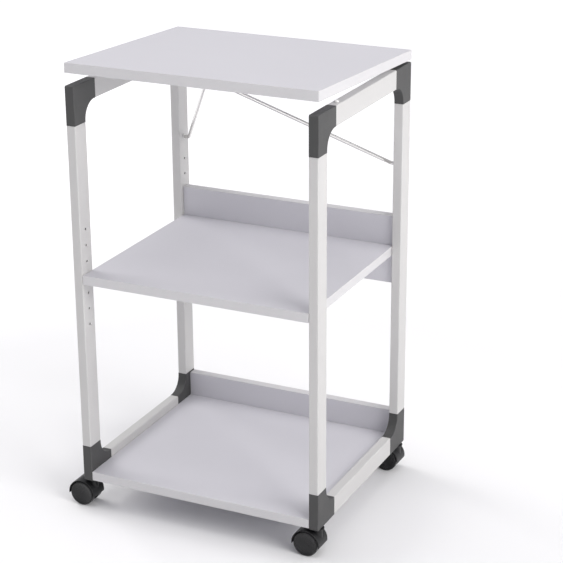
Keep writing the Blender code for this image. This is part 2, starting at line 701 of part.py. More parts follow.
def wheel_profile():
    """Wheel about Z, dished face at the top, hollow with a hub below."""
    outer = WHEEL_RADIUS
    width = WHEEL_WIDTH
    bore = AXLE_DIAMETER / 2 + GAP
    return [(0, width), (0.017, width - 0.0004), (0.0228, width - 0.0016), (outer, width - 0.0040),
            (outer, 0.0014), (outer - 0.0014, 0), (WHEEL_HOLLOW_RADIUS + 0.0005, 0),
            (WHEEL_HOLLOW_RADIUS, width - 0.0050), (WHEEL_HUB_RADIUS + 0.0005, width - 0.0050),
            (WHEEL_HUB_RADIUS, 0), (bore, 0), (bore, width - 0.0060), (0, width - 0.0060)]


def axle_profile():
    half = WEB_THICK / 2 + WHEEL_WIDTH - 0.0070
    radius = AXLE_DIAMETER / 2
    return [(0, half), (radius - 0.0006, half), (radius, half - 0.0006), (radius, 0.0006 - half),
            (radius - 0.0006, -half), (0, -half)]


def build_caster(frame, end, side, shared_hood):
    """Twin-wheel caster: it turns on its stem, and its wheels turn on the axle."""
    toward_rear = dict(ENDS)[end]
    outward = dict(SIDES)[side]
    label = f"{end}_{side}"
    caster = add_empty(f"swivel_axis_{label}", frame, (outward * LEG_X, toward_rear * LEG_Y, 0))
    turned(f"caster_stem_{label}", stem_profile(), ZINC, caster, steps=8)
    axle = (-TRAIL, 0, WHEEL_RADIUS)
    hood = add_part(f"caster_hood_{label}", shared_hood, BLACK, caster, axle, (math.radians(90), 0, 0))
    round_edges(hood, 0.0005, 1)
    for tool, operation in hood_tools(caster, f"hood_{label}"):
        combine(hood, tool, operation)
    wheel_axis = add_empty(f"wheel_axis_{label}", caster, axle)
    turned(f"caster_axle_{label}", axle_profile(), ZINC, wheel_axis, rotation=(math.radians(90), 0, 0),
           steps=8)
    inner = WEB_THICK / 2 + GAP
    for letter, direction in (("a", -1), ("b", 1)):
        turned(f"caster_wheel_{label}_{letter}", wheel_profile(), TREAD, wheel_axis,
               (0, direction * inner, 0), (math.radians(-90 * direction), 0, 0), 20)


def build_casters(frame):
    shared_hood = hood_mesh()
    for end, _ in ENDS:
        for side, _ in SIDES:
            build_caster(frame, end, side, shared_hood)


def build_stand():
    frame = add_empty("frame_centre", location=(CENTRE_X, 0, 0))
    build_legs(frame)
    build_rails(frame)
    build_connectors(frame)
    build_bottom_shelf(frame)
    build_middle_shelf(frame)
    build_top(frame)
    build_prop(frame)
    build_casters(frame)


build_stand()
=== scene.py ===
"""Mobile projector stand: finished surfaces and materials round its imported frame.

Metres, +Z up, -Y is the front.  The sections follow the order of assembly.
"""

import json
import math

import bmesh
import bpy
import numpy as np
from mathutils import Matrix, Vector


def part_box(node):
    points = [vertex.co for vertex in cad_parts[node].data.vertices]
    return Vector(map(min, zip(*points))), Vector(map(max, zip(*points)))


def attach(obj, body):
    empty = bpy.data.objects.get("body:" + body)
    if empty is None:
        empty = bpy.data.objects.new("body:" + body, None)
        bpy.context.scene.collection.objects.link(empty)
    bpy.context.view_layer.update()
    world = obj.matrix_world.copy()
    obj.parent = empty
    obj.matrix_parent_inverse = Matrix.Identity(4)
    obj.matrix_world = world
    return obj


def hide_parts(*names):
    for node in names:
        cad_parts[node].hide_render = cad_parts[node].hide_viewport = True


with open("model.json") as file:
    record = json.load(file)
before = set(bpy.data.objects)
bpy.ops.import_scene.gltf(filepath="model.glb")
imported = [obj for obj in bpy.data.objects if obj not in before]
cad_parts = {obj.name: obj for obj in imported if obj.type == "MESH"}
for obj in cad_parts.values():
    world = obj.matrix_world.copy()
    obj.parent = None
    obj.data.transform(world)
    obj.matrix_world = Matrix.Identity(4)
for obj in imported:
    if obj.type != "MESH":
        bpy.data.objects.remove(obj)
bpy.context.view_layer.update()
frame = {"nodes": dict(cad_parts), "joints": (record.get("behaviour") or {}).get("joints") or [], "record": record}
joints = {joint["name"]: joint for joint in frame["joints"]}
mounts = {mount["name"]: mount for mount in frame["record"]["mounts"]}
sides = {"left": -1, "right": 1}
ends = {"front": -1, "rear": 1}


# ---------------------------------------------------------------------------
# Uprights: four flat steel tubes, 38 by 19 mm, roll-formed with small corner
# radii and powder-coated light silver grey.  A row of holes on a 32 mm pitch is
# punched through the inner wall of each, for the shelf fittings.

tube_wall = 0.0015
tube_corner = 0.0022
hole_pitch = 0.032
hole_radius = 0.0025
hole_top = 0.521            # highest front hole above the frame's underside
hole_counts = {"front": 7, "rear": 8}
prop_hole_radius = 0.00465
paint_colour = (0.580, 0.573, 0.567)
# Lighter colour on the tubes' rounded corners: partly paint wear, partly a painted highlight.
paint_edge_wear_and_sheen = (0.66, 0.655, 0.65)


def rounded_outline(corners, radii, steps=8):
    """Closed outline through the corners, each replaced by an arc of its own radius.

    The arc's centre lies on the corner's bisector, radius / sin(half angle) away,
    and the arc runs between the points radius / tan(half angle) along both sides.
    The second result is 0 on the straight parts and rises to 1 half-way round an arc.
    """
    corners = np.asarray(corners, float)
    share = np.linspace(0, 1, steps + 1)
    points = []
    for corner, before, after, radius in zip(
            corners, np.roll(corners, 1, 0), np.roll(corners, -1, 0), radii):
        back = (before - corner) / np.linalg.norm(before - corner)
        ahead = (after - corner) / np.linalg.norm(after - corner)
        half = math.acos(np.clip(back @ ahead, -1, 1)) / 2
        bisector = (back + ahead) / np.linalg.norm(back + ahead)
        centre = corner + bisector * radius / math.sin(half)
        first = corner + back * radius / math.tan(half) - centre
        last = corner + ahead * radius / math.tan(half) - centre
        start = math.atan2(first[1], first[0])
        turn = (math.atan2(last[1], last[0]) - start + math.pi) % (2 * math.pi) - math.pi
        angles = start + turn * share
        points.append(centre + radius * np.stack([np.cos(angles), np.sin(angles)], 1))
    bend = np.tile(np.sin(np.pi * share), len(corners))
    return np.concatenate(points), bend


def inset_outline(outline, distance):
    """Outline moved inwards by a distance, with its sides kept parallel.

    Each point moves along the mean of its two sides' normals, divided by the
    cosine of half the turn between them.
    """
    side = np.roll(outline, -1, 0) - outline
    x, y = outline.T
    area = np.sum(x * np.roll(y, -1) - np.roll(x, -1) * y)
    inward = np.stack([-side[:, 1], side[:, 0]], 1) * np.sign(area)
    inward /= np.maximum(np.linalg.norm(inward, axis=1, keepdims=True), 1e-12)
    mean = inward + np.roll(inward, 1, 0)
    mean /= np.linalg.norm(mean, axis=1, keepdims=True)
    stretch = np.sum(mean * inward, 1, keepdims=True)
    return outline + mean * distance / stretch


def grid_faces(rows, columns, wrap_rows=False):
    """Quads between neighbouring points of a grid whose columns close on themselves."""
    row = np.arange(rows if wrap_rows else rows - 1)
    i, j = np.meshgrid(row, np.arange(columns), indexing="ij")
    below = (i + 1) % rows
    beside = (j + 1) % columns
    quads = [i * columns + j, i * columns + beside, below * columns + beside, below * columns + j]
    return np.stack(quads, -1).reshape(-1, 4).tolist()


def hollow_tube(width, depth, length, corner, wall):
    """Open-ended tube along Z: a rounded rectangle carried up outside and down inside."""
    corners = np.array([(-1, -1), (1, -1), (1, 1), (-1, 1)]) * (width / 2, depth / 2)
    outer, bend = rounded_outline(corners, [corner] * 4)
    inner = inset_outline(outer, wall)
    rim = wall / 5
    half = length / 2
    walls = [(outer, -half + rim), (outer, half - rim), (inset_outline(outer, rim), half),
             (inner, half), (inner, -half), (inset_outline(outer, rim), -half)]
    points = np.stack([np.column_stack([loop, np.full(len(loop), z)]) for loop, z in walls])
    # The outer corners take the lighter edge colour, partly wear and partly painted highlight.
    wear = np.stack([bend * (level in (0, 1)) for level in range(len(walls))])
    return points.reshape(-1, 3), grid_faces(len(walls), len(outer), True), wear.ravel()


def make_piece(name, shape, origin=(0, 0, 0), axes=np.eye(3), sharp=32):
    """Mesh object whose points are origin + x * axes[0] + y * axes[1] + z * axes[2]."""
    points, faces, wear = shape
    mesh = bpy.data.meshes.new(name)
    mesh.from_pydata((np.asarray(origin) + points @ np.asarray(axes)).tolist(), [], faces)
    # Per-point mask: lighter rounded edges, partly wear and partly painted highlight; on the wheels it marks the
    # tread.
    layer = mesh.attributes.new("wear", "FLOAT", "POINT")
    layer.data.foreach_set("value", np.asarray(wear, np.float32))
    bm = bmesh.new()
    bm.from_mesh(mesh)
    bmesh.ops.remove_doubles(bm, verts=bm.verts, dist=1e-6)
    bmesh.ops.recalc_face_normals(bm, faces=bm.faces)
    bm.to_mesh(mesh)
    bm.free()
    mesh.shade_smooth()
    mesh.set_sharp_from_angle(angle=math.radians(sharp))
    piece = bpy.data.objects.new(name, mesh)
    bpy.context.scene.collection.objects.link(piece)
    return piece


def cut_or_join(piece, tools, operation="DIFFERENCE", sharp=32):
    """Cut the tools out of a piece, or join them to it, and remove them."""
    for tool in tools:
        step = piece.modifiers.new("shape", "BOOLEAN")
        step.solver = "EXACT"
        step.operation = operation
        step.object = tool
    bpy.context.view_layer.update()
    settled = bpy.context.evaluated_depsgraph_get()
    before = piece.data
    piece.data = bpy.data.meshes.new_from_object(piece.evaluated_get(settled))
    piece.modifiers.clear()
    bpy.data.meshes.remove(before)
    piece.data.shade_smooth()
    piece.data.set_sharp_from_angle(angle=math.radians(sharp))
    for tool in tools:
        bpy.data.objects.remove(tool)


def finish_piece(piece, material, body, slot, *nodes):
    """Give a piece its material and even normals, and let it ride in place of CAD nodes."""
    piece.data.materials.clear()
    piece.data.materials.append(material)
    even = piece.modifiers.new("even_normals", "WEIGHTED_NORMAL")
    even.keep_sharp = True
    even.weight = 80
    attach(piece, body)
    if nodes:
        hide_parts(*nodes)


def turned_shape(profile, steps=48, wear=None):
    """Surface of revolution about Z: (radius cos a, radius sin a, height) per profile point."""
    profile = np.asarray(profile, float)
    angle = np.linspace(0, 2 * np.pi, steps, endpoint=False)
    radius, height = profile[:, :1], profile[:, 1:]
    grid = np.stack([radius * np.cos(angle), radius * np.sin(angle), height + 0 * angle], -1)
    worn_and_sheen = np.zeros(len(profile)) if wear is None else np.asarray(wear, float)
    closed = profile[0, 0] > 0
    faces = grid_faces(len(profile), steps, closed)
    return grid.reshape(-1, 3), faces, np.repeat(worn_and_sheen, steps)


def surface_with_wear_and_sheen_group():
    """Shader group: a base colour with soft tone changes, edges lightened partly for wear and partly as a painted
    highlight, and a fine grain.
    """
    group = bpy.data.node_groups.new("used_surface", "ShaderNodeTree")
    face = group.interface
    for name, kind in (("Vector", "NodeSocketVector"), ("Base", "NodeSocketColor"),
                       ("Worn", "NodeSocketColor"), ("Wear Amount", "NodeSocketFloat"),
                       ("Tone Change", "NodeSocketFloat"), ("Broad Scale", "NodeSocketFloat"),
                       ("Fine Scale", "NodeSocketFloat")):
        face.new_socket(name, in_out="INPUT", socket_type=kind)
    for name, kind in (("Color", "NodeSocketColor"), ("Blotch", "NodeSocketFloat"),
                       ("Height", "NodeSocketFloat")):
        face.new_socket(name, in_out="OUTPUT", socket_type=kind)
    nodes, links = group.nodes, group.links
    given = nodes.new("NodeGroupInput")
    result = nodes.new("NodeGroupOutput")
    broad = nodes.new("ShaderNodeTexNoise")
    broad.inputs["Detail"].default_value = 5.0
    broad.inputs["Roughness"].default_value = 0.62
    fine = nodes.new("ShaderNodeTexNoise")
    fine.inputs["Detail"].default_value = 2.0
    for noise, scale in ((broad, "Broad Scale"), (fine, "Fine Scale")):
        links.new(given.outputs["Vector"], noise.inputs["Vector"])
        links.new(given.outputs[scale], noise.inputs["Scale"])
    centred = nodes.new("ShaderNodeMath")
    centred.operation = "SUBTRACT"
    centred.inputs[1].default_value = 0.5
    links.new(broad.outputs["Fac"], centred.inputs[0])
    shift = nodes.new("ShaderNodeMath")
    shift.operation = "MULTIPLY_ADD"
    shift.inputs[2].default_value = 1.0
    links.new(centred.outputs[0], shift.inputs[0])
    links.new(given.outputs["Tone Change"], shift.inputs[1])
    toned = nodes.new("ShaderNodeVectorMath")
    toned.operation = "SCALE"
    links.new(given.outputs["Base"], toned.inputs[0])
    links.new(shift.outputs[0], toned.inputs["Scale"])
    # The per-point edge mask lightens rounded edges and corners: partly wear, partly a painted highlight.
    edge = nodes.new("ShaderNodeAttribute")
    edge.attribute_name = "wear"
    patchy = nodes.new("ShaderNodeMapRange")
    patchy.interpolation_type = "SMOOTHSTEP"
    patchy.inputs["From Min"].default_value = 0.42
    patchy.inputs["From Max"].default_value = 0.62
    links.new(broad.outputs["Fac"], patchy.inputs["Value"])
    worn_and_sheen = nodes.new("ShaderNodeMath")
    worn_and_sheen.operation = "MULTIPLY"
    links.new(edge.outputs["Fac"], worn_and_sheen.inputs[0])
    links.new(patchy.outputs["Result"], worn_and_sheen.inputs[1])
    mask = nodes.new("ShaderNodeMath")
    mask.operation = "MULTIPLY"
    links.new(worn_and_sheen.outputs[0], mask.inputs[0])
    links.new(given.outputs["Wear Amount"], mask.inputs[1])
    blended = nodes.new("ShaderNodeMix")
    blended.data_type = "RGBA"
    links.new(mask.outputs[0], blended.inputs["Factor"])
    links.new(toned.outputs["Vector"], blended.inputs[6])
    links.new(given.outputs["Worn"], blended.inputs[7])
    links.new(blended.outputs[2], result.inputs["Color"])
    links.new(broad.outputs["Fac"], result.inputs["Blotch"])
    links.new(fine.outputs["Fac"], result.inputs["Height"])
    return group


used_surface = surface_with_wear_and_sheen_group()


def surface_material(name, base, worn_and_sheen, wear, tone, scales, roughness, bump, metallic=0.0,
                     specular=0.5):
    """Principled material fed by the shared surface group, whose lighter edge colour is partly wear and partly a
    painted highlight.

    scales are the broad and the fine noise per metre, roughness its lowest and
    highest value, and bump the strength and the depth in metres.
    """
    material = bpy.data.materials.new(name)
    material.use_nodes = True
    nodes, links = material.node_tree.nodes, material.node_tree.links
    shader = nodes["Principled BSDF"]
    shader.inputs["Metallic"].default_value = metallic
    shader.inputs["Specular IOR Level"].default_value = specular
    place = nodes.new("ShaderNodeTexCoord")
    look = nodes.new("ShaderNodeGroup")
    look.node_tree = used_surface
    look.inputs["Base"].default_value = (*base, 1.0)
    look.inputs["Worn"].default_value = (*worn_and_sheen, 1.0)
    look.inputs["Wear Amount"].default_value = wear
    look.inputs["Tone Change"].default_value = tone
    look.inputs["Broad Scale"].default_value = scales[0]
    look.inputs["Fine Scale"].default_value = scales[1]
    links.new(place.outputs["Object"], look.inputs["Vector"])
    links.new(look.outputs["Color"], shader.inputs["Base Color"])
    gloss = nodes.new("ShaderNodeMapRange")
    gloss.inputs["From Min"].default_value = 0.3
    gloss.inputs["From Max"].default_value = 0.7
    gloss.inputs["To Min"].default_value = roughness[0]
    gloss.inputs["To Max"].default_value = roughness[1]
    links.new(look.outputs["Blotch"], gloss.inputs["Value"])
    links.new(gloss.outputs["Result"], shader.inputs["Roughness"])
    relief = nodes.new("ShaderNodeBump")
    relief.inputs["Strength"].default_value = bump[0]
    relief.inputs["Distance"].default_value = bump[1]
    links.new(look.outputs["Height"], relief.inputs["Height"])
    links.new(relief.outputs["Normal"], shader.inputs["Normal"])
    return material


powder_coat = surface_material("silver_grey_powder_coat", paint_colour, paint_edge_wear_and_sheen, 0.5, 0.05,
                               (9, 900), (0.34, 0.46), (0.22, 0.0002))


def hole_punches(name, spots, radius):
    """Short round cutters along X through the inner wall of a tube."""
    reach = 2 * tube_wall
    punch = turned_shape([(0, reach), (radius, reach), (radius, -reach), (0, -reach)], 32)
    along_x = np.array([(0, 1, 0), (0, 0, 1), (1, 0, 0)])
    return [make_piece(f"{name}_{i}", punch, spot, along_x) for i, spot in enumerate(spots)]


frame_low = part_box("bottom_connector_front_left")[0].z
for end in ends:
    for side, outward in sides.items():
        node = f"leg_{end}_{side}"
        low, high = (np.array(corner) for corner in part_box(node))
        size = high - low
        upright = make_piece(f"upright_{end}_{side}",
                             hollow_tube(size[0], size[1], size[2], tube_corner, tube_wall),
                             (low + high) / 2)
        inner_wall = (low + high)[0] / 2 - outward * (size[0] - tube_wall) / 2
        middle_y = (low + high)[1] / 2
        below_top = np.arange(hole_counts[end]) + 1 - hole_counts["front"]
        heights = frame_low + hole_top + hole_pitch * below_top
        row = [(inner_wall, middle_y, z) for z in heights]
        punches = hole_punches(f"punch_{end}_{side}", row, hole_radius)
        if end == "rear":
            pivot = joints["prop_swing"]["pos_m"]
            punches += hole_punches(f"pivot_punch_{side}", [(inner_wall, pivot[1], pivot[2])],
                                    prop_hole_radius)
        cut_or_join(upright, punches)
        finish_piece(upright, powder_coat, "frame", "tube_paint", node)


# ---------------------------------------------------------------------------
# Rails: the same tube lying level, one low and one high on each side.  Each is
# pushed over the spigots of a front and a rear corner connector.

for level in ("bottom", "top"):
    for side in sides:
        node = f"{level}_rail_{side}"
        low, high = (np.array(corner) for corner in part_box(node))
        size = high - low
        rail = make_piece(f"side_rail_{level}_{side}",
                          hollow_tube(size[0], size[2], size[1], tube_corner, tube_wall),
                          (low + high) / 2, np.array([(1, 0, 0), (0, 0, 1), (0, 1, 0)]))
        finish_piece(rail, powder_coat, "frame", "tube_paint", node)


# ---------------------------------------------------------------------------
# Corner connectors: eight moulded L pieces of dark grey glass-filled nylon, with
# a fine spark-eroded grain.  Their outer faces lie flush with the tubes, and a
# quarter-circle fillet runs from tube to tube.

connector_edge = 0.0014
heel_radius = 0.003
arm_end_radius = 0.002
fillet_radius = 0.034
outline_steps = 14
arm_overrun = 0.004         # cut off again, so the ends are square
connector_colour = (0.064, 0.064, 0.064)
# Lighter colour on the connectors' rounded edges: partly wear, partly a painted highlight.
connector_edge_wear_and_sheen = (0.13, 0.13, 0.13)
joint_gap = 0.0003


def rounded_slab(outline, bend, thickness, rounding, steps=5):
    """Outline carried through a thickness about Z = 0, with both faces' edges rounded.

    At angle a of the rounding the loop is inset by r (1 - cos a) and stands at
    thickness / 2 - r + r sin a.
    """
    angle = np.linspace(-np.pi / 2, np.pi / 2, 2 * steps + 2)
    angle[steps] = angle[steps + 1] = 0.0
    middle = np.where(np.arange(len(angle)) <= steps, -1, 1) * (thickness / 2 - rounding)
    height = middle + rounding * np.sin(angle)
    loops = [inset_outline(outline, rounding * (1 - math.cos(a))) for a in angle]
    points = np.stack([np.column_stack([loop, np.full(len(loop), z)])
                       for loop, z in zip(loops, height)])
    # The rounded edges and the outline's corners take the lighter edge colour: partly wear, partly a painted
    # highlight.
    wear = np.maximum(bend[None, :], np.abs(np.sin(2 * angle))[:, None])
    columns = len(outline)
    faces = grid_faces(len(angle), columns)
    last = (len(angle) - 1) * columns
    faces += [list(range(columns)), list(range(last, last + columns))]
    wear[[0, -1]] = 0.0
    return points.reshape(-1, 3), faces, wear.ravel()


def square_off(piece, place, direction):
    """Cut a piece off flat at a place, drop what lies beyond along the direction, and cap it."""
    bm = bmesh.new()
    bm.from_mesh(piece.data)
    everything = bm.verts[:] + bm.edges[:] + bm.faces[:]
    bmesh.ops.bisect_plane(bm, geom=everything, dist=1e-7, plane_co=place, plane_no=direction,
                           clear_outer=True)
    open_edges = [edge for edge in bm.edges if edge.is_boundary]
    bmesh.ops.contextual_create(bm, geom=open_edges)
    bmesh.ops.recalc_face_normals(bm, faces=bm.faces)
    bm.to_mesh(piece.data)
    bm.free()
    piece.data.shade_smooth()
    piece.data.set_sharp_from_angle(angle=math.radians(32))


grey_plastic = surface_material("dark_grey_moulding", connector_colour, connector_edge_wear_and_sheen, 0.5, 0.25,
                                (14, 2600), (0.42, 0.56), (0.35, 0.00012), specular=0.35)
arm_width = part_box("leg_front_left")[1].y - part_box("leg_front_left")[0].y
arm_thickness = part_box("leg_front_left")[1].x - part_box("leg_front_left")[0].x
for level, up in (("bottom", 1), ("top", -1)):
    for end, toward_rear in ends.items():
        for side, outward in sides.items():
            node = f"{level}_connector_{end}_{side}"
            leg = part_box(f"leg_{end}_{side}")
            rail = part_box(f"{level}_rail_{side}")
            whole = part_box(node)
            corner_y = whole[(toward_rear + 1) // 2].y
            corner_z = whole[(1 - up) // 2].z
            reach_y = abs(rail[(toward_rear + 1) // 2].y - corner_y) - joint_gap
            reach_z = abs(leg[(1 - up) // 2].z - corner_z) - joint_gap
            beyond_y, beyond_z = reach_y + arm_overrun, reach_z + arm_overrun
            outline, bend = rounded_outline(
                [(0, 0), (beyond_y, 0), (beyond_y, arm_width), (arm_width, arm_width),
                 (arm_width, beyond_z), (0, beyond_z)],
                [heel_radius, arm_end_radius, arm_end_radius, fillet_radius,
                 arm_end_radius, arm_end_radius], outline_steps)
            bend.reshape(-1, outline_steps + 1)[3] = 0.0       # no wear and no painted highlight in the fillet
            shape = rounded_slab(outline, bend, arm_thickness, connector_edge)
            axes = np.array([(0, -toward_rear, 0), (0, 0, up), (1, 0, 0)])
            corner = np.array([(leg[0].x + leg[1].x) / 2, corner_y, corner_z])
            name = f"corner_{level}_{end}_{side}"
            connector = make_piece(name, shape, corner, axes)
            square_off(connector, corner + reach_y * axes[0], axes[0])
            square_off(connector, corner + reach_z * axes[1], axes[1])
            finish_piece(connector, grey_plastic, "frame", "corner_plastic", node)


# ---------------------------------------------------------------------------
# Boards: chipboard faced with light grey melamine, with a 1 mm plastic band
# glued round the edge.  Two shelves, a low panel behind the bottom one and a
# taller panel behind the middle one.

band_thickness = 0.001
band_rounding = 0.0005
board_corner = 0.0012
face_seam = 0.00004
pocket_reach = 0.0068       # from a cam's middle out through the board's face
laminate_colour = (0.600, 0.593, 0.632)
band_colour = (0.625, 0.617, 0.630)
# Lighter colour on the band's rounded edges: partly wear, partly a painted highlight.
band_edge_wear_and_sheen = (0.72, 0.71, 0.72)


def board_outline(length, width):
    """Rectangle about the origin with small corner radii."""
    corners = np.array([(-1, -1), (1, -1), (1, 1), (-1, 1)]) * (length / 2, width / 2)
    return rounded_outline(corners, [board_corner] * 4, 5)


def edge_band_shape(outline, bend, thickness):
    """The band's section, a flat strip with two rounded outer edges, carried round an outline."""
    angle = np.linspace(0, np.pi / 2, 5)
    inset = band_rounding * (1 - np.cos(angle))
    height = thickness / 2 - band_rounding + band_rounding * np.sin(angle)
    section_inset = np.concatenate([inset, [band_thickness, band_thickness], inset[::-1]])
    section_height = np.concatenate([height, [thickness / 2, -thickness / 2], -height[::-1]])
    loops = [inset_outline(outline, distance) for distance in section_inset]
    points = np.stack([np.column_stack([loop, np.full(len(loop), z)])
                       for loop, z in zip(loops, section_height)])
    # The band's rounded edges take the lighter edge colour, partly wear and partly painted highlight.
    rounded = np.concatenate([np.sin(2 * angle), [0, 0], np.sin(2 * angle)[::-1]])
    wear = np.maximum(rounded[:, None], bend[None, :] * (section_inset < band_thickness)[:, None])
    return points.reshape(-1, 3), grid_faces(len(section_inset), len(outline), True), wear.ravel()


melamine = surface_material("light_grey_melamine", laminate_colour, laminate_colour, 0.0, 0.035,
                            (4, 1500), (0.36, 0.46), (0.10, 0.0001))
edging = surface_material("light_grey_edge_band", band_colour, band_edge_wear_and_sheen, 0.6, 0.03,
                          (12, 700), (0.30, 0.38), (0.08, 0.0001))


def build_board(name, node, body, low, high, origin, axes, pockets=()):
    """Faced core and edge band from a box in the board's own axes; Z is its thickness."""
    middle = (low + high) / 2
    size = high - low
    centre = origin + middle @ axes
    outline, bend = board_outline(size[0], size[1])
    core = make_piece(f"{name}_core", rounded_slab(
        inset_outline(outline, band_thickness + face_seam), bend * 0, size[2], face_seam, 1),
        centre, axes)
    if pockets:
        cut_or_join(core, list(pockets))
    finish_piece(core, melamine, body, "laminate", node)
    band = make_piece(f"{name}_edge_band", edge_band_shape(outline, bend, size[2]), centre, axes)
    finish_piece(band, edging, body, "laminate")


def box_in_axes(node, origin, axes):
    """Lowest and highest corner of a node, measured along the given axes from an origin."""
    points = np.array([vertex.co for vertex in frame["nodes"][node].data.vertices])
    along = (points - origin) @ np.asarray(axes).T
    return along.min(0), along.max(0)


def pocket_cutter(name, cam, axes):
    """Round cutter for a cam's pocket; the cam's box gives its middle and radius."""
    low, high = (np.array(corner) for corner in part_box(cam))
    radius = (high - low)[0] / 2 + joint_gap
    shape = turned_shape([(0, pocket_reach), (radius, pocket_reach), (radius, -pocket_reach),
                          (0, -pocket_reach)], 40)
    return make_piece(name, shape, (low + high) / 2, axes)


level_axes = np.eye(3)
upright_axes = np.array([(1, 0, 0), (0, 0, 1), (0, -1, 0)])
for node, axes, cam in (("bottom_shelf", level_axes, None),
                        ("bottom_rear_panel", upright_axes, None),
                        ("middle_shelf", level_axes, "shelf_cam"),
                        ("middle_rear_panel", upright_axes, "panel_cam")):
    cutters = [pocket_cutter(f"{cam}_cutter_{side}", f"{cam}_{side}", axes)
               for side in sides if cam]
    low, high = box_in_axes(node, np.zeros(3), axes)
    build_board(node, node, "frame", low, high, np.zeros(3), axes, cutters)


# ---------------------------------------------------------------------------
# Fittings: zinc die-cast cams with a cross recess sit in pockets in the middle
# shelf's underside and in its rear panel.  Each draws a steel bolt, which is
# screwed into a leg, and with it the board's end, hard against the leg.

zinc_colour = (0.60, 0.60, 0.61)
zinc_worn = (0.72, 0.72, 0.72)
cam_recess_arm = 0.0048
cam_recess_width = 0.0018
cam_recess_depth = 0.0035
disc_edge = 0.05            # rounding of a disc's rim, as a share of its radius
disc_top = 0.96             # the height field's reach, as a share of the radius


def recessed_disc(radius, height, dome, recess_arm, recess_width, recess_depth, steps=64):
    """Disc about Z whose top is a height field with a cross-shaped recess.

    The top is height - dome (r / radius)^2, lowered by recess_depth wherever |x| or
    |y| is under half the recess width and r is under recess_arm.
    """
    angle = np.linspace(0, 2 * np.pi, steps, endpoint=False)
    ring = np.linspace(0, 1, 22)[:, None] * (radius * disc_top)
    x, y = ring * np.cos(angle), ring * np.sin(angle)
    slot = np.minimum(np.abs(x), np.abs(y)) < recess_width / 2
    sunk = slot & (np.hypot(x, y) < recess_arm)
    top = height - dome * (ring / radius) ** 2 - np.where(sunk, recess_depth, 0.0)
    upper = np.stack([x, y, top], -1)
    edge = radius * disc_edge
    rim = np.array([(radius, height - dome - edge), (radius, edge), (radius - edge, 0), (0, 0)])
    lower = np.stack([rim[:, :1] * np.cos(angle), rim[:, :1] * np.sin(angle),
                      rim[:, 1:] + 0 * angle], -1)
    grid = np.concatenate([upper, lower])
    return grid.reshape(-1, 3), grid_faces(len(grid), steps), np.zeros(grid.shape[0] * steps)


def repaint(node, material):
    """Give a CAD piece that stays visible its finish, and return the piece."""
    piece = frame["nodes"][node]
    piece.data.materials.clear()
    piece.data.materials.append(material)
    return piece


zinc = surface_material("bright_zinc_plate", zinc_colour, zinc_worn, 0.3, 0.3,
                        (60, 1800), (0.26, 0.42), (0.12, 0.0001), metallic=1.0)
for side in sides:
    for name, facing in (("shelf_cam", np.array([(1, 0, 0), (0, -1, 0), (0, 0, -1)])),
                         ("panel_cam", np.array([(1, 0, 0), (0, 0, -1), (0, 1, 0)]))):
        node = f"{name}_{side}"
        low, high = (np.array(corner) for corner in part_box(node))
        centre = (low + high) / 2
        height = np.abs(facing[2]) @ (high - low)
        shape = recessed_disc((high - low)[0] / 2, height, 0.0,
                              cam_recess_arm, cam_recess_width, cam_recess_depth)
        cam = make_piece(f"{name}_disc_{side}", shape, centre - facing[2] * height / 2, facing)
        finish_piece(cam, zinc, "frame", "zinc_steel", node)
    for name in ("shelf_bolt", "panel_bolt"):
        repaint(f"{name}_{side}", zinc)


# ---------------------------------------------------------------------------
# Casters: a black nylon hood turns on a steel stem that is pressed into the
# corner above.  Two wheels run on an axle through the hood's centre wall.

hood_colour = (0.014, 0.014, 0.015)
# Lighter colour on the hood's outer edges: partly wear, partly a painted highlight.
hood_edge_wear_and_sheen = (0.05, 0.05, 0.052)
wheel_colour = (0.011, 0.011, 0.012)
tread_colour = (0.028, 0.028, 0.029)
hood_wall = 0.0015
hood_edge = 0.0010
hood_start = math.radians(-8)
hood_end = math.radians(185)
hood_sharp = 14             # degrees between faces that still shade as one
web_half = 0.0055
web_start = 0.004           # inside the hub
crisp = 0.0002
hub_radius = 0.0080
hub_edge = 0.0004
boss_radius = 0.0095
boss_foot = 0.010           # above the axle
collar_radius = 0.0130
collar_height = 0.0024
collar_edge = 0.0005
fillet_clearance = 0.0006
dish_radius = 0.0212
dish_depth = 0.0036
dish_step = 0.0004
shoulder = 0.0022
inner_shoulder = 0.0016
cover_thickness = 0.0065
inner_corner = 0.0005
wheel_bore = 0.0033


def hood_shell_shape(radius, width):
    """T section, the skin over both wheels and the wall between them, carried round the axle.

    A section point (r, y) goes to (r cos a, y, r sin a) as a runs from the open
    end over the top to the other end.
    """
    skin = radius - hood_wall
    half = width / 2
    section, bend = rounded_outline(
        [(skin, -half), (radius, -half), (radius, half), (skin, half),
         (skin, web_half), (web_start, web_half), (web_start, -web_half), (skin, -web_half)],
        [crisp, hood_edge, hood_edge, crisp, hood_edge, crisp, crisp, hood_edge], 4)
    angle = np.linspace(hood_start, hood_end, 73)[:, None]
    r, y = section[:, 0], section[:, 1]
    grid = np.stack([r * np.cos(angle), y + 0 * angle, r * np.sin(angle)], -1)
    columns = len(section)
    faces = grid_faces(len(angle), columns)
    last = (len(angle) - 1) * columns
    faces += [list(range(columns)), list(range(last, last + columns))]
    # The outer skin's rounded edges take the lighter edge colour, partly wear and partly painted highlight.
    outer = bend * (r > skin)
    return grid.reshape(-1, 3), faces, np.tile(outer, len(angle))


def stem_boss(base, top):
    """Round boss about Z under a wider collar, joined by a fillet of a quarter circle."""
    angle = np.linspace(0, np.pi / 2, 6)
    fillet = collar_radius - boss_radius - fillet_clearance
    low = top - collar_height
    hollow = np.column_stack([boss_radius + fillet * (1 - np.cos(angle)),
                              low - fillet * (1 - np.sin(angle))])
    lip = [(collar_radius, low + collar_edge), (collar_radius, top - collar_edge),
           (collar_radius - collar_edge, top)]
    profile = np.concatenate([[(0, base), (boss_radius, base)], hollow, lip, [(0, top)]])
    return turned_shape(profile[::-1], 48)


